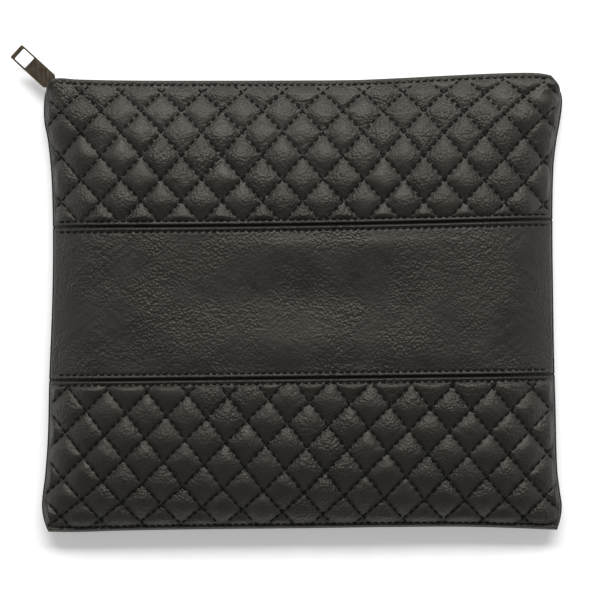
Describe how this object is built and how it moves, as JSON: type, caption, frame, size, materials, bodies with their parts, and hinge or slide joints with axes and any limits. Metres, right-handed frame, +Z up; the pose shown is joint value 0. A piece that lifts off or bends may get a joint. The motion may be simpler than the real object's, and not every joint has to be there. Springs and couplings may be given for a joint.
{
  "type": "zip pouch",
  "caption": "Flat zip-top jewellery pouch in quilted leather with a smooth centre band, lined inside, with a metal zip puller.",
  "frame": {"origin": "middle of the flat underside of the back wall, on which the pouch lies", "axes": "+X along the mouth, +Y from the bottom seam to the mouth, +Z up out of the front wall"},
  "size_m": [0.2645, 0.2342, 0.0282],
  "materials": {
    "leather": "fine grained charcoal, semi-matt",
    "leather_allowance": "skived flesh side, matt",
    "wadding": "soft polyester wadding",
    "interlining": "bonded non-woven",
    "lining": "black twill",
    "zip_tape": "woven herringbone tape",
    "zip_metal": "gunmetal plated",
    "slider_metal": "gunmetal plated",
    "puller_metal": "gunmetal with bright bevels"
  },
  "bodies": {
    "back_wall": {"back_upper_quilted_panel": "leather", "back_centre_band": "leather", "back_lower_quilted_panel": "leather", "back_upper_wadding": "wadding", "back_lower_wadding": "wadding", "back_interlining": "interlining", "back_lining": "lining", "zip_tape_back": "zip_tape", "zip_teeth_back": "zip_metal", "zip_top_stop_back": "zip_metal", "zip_bottom_stop": "zip_metal", "side_seam_left": "leather_allowance", "side_seam_right": "leather_allowance", "bottom_seam": "leather_allowance"},
    "front_wall": {"front_upper_quilted_panel": "leather", "front_centre_band": "leather", "front_lower_quilted_panel": "leather", "front_upper_wadding": "wadding", "front_lower_wadding": "wadding", "front_interlining": "interlining", "front_lining": "lining", "zip_tape_front": "zip_tape", "zip_teeth_front": "zip_metal", "zip_top_stop_front": "zip_metal"},
    "slider": {"slider_body": "slider_metal", "slider_bail": "slider_metal"},
    "link": {"pull_link": "slider_metal"},
    "puller": {"puller_plate": "puller_metal"}
  },
  "joints": [
    {"name": "mouth_open", "type": "hinge", "parent": "back_wall", "child": "front_wall", "pos_m": [0, -0.1086, 0.008], "axis": [1, 0, 0], "range_deg": [0, 8], "deforming": ["zip_teeth_front", "zip_tape_front", "zip_top_stop_front"]},
    {"name": "zip_slide", "type": "slide", "parent": "back_wall", "child": "slider", "axis": [1, 0, 0], "range_m": [0, 0.2266], "deforming": ["zip_teeth_back"]},
    {"name": "link_swing", "type": "hinge", "parent": "slider", "child": "link", "pos_m": [-0.1133, 0.09955, 0.008], "axis": [0, 0, 1], "range_deg": [-95, 5]},
    {"name": "puller_swing", "type": "hinge", "parent": "link", "child": "puller", "pos_m": [-0.11847, 0.10427, 0.008], "axis": [0, 0, 1], "range_deg": [-30, 10]}
  ],
  "couplings": [
    {"joint": "zip_slide", "follows": "mouth_open", "m_per_rad": 1.6228}
  ]
}
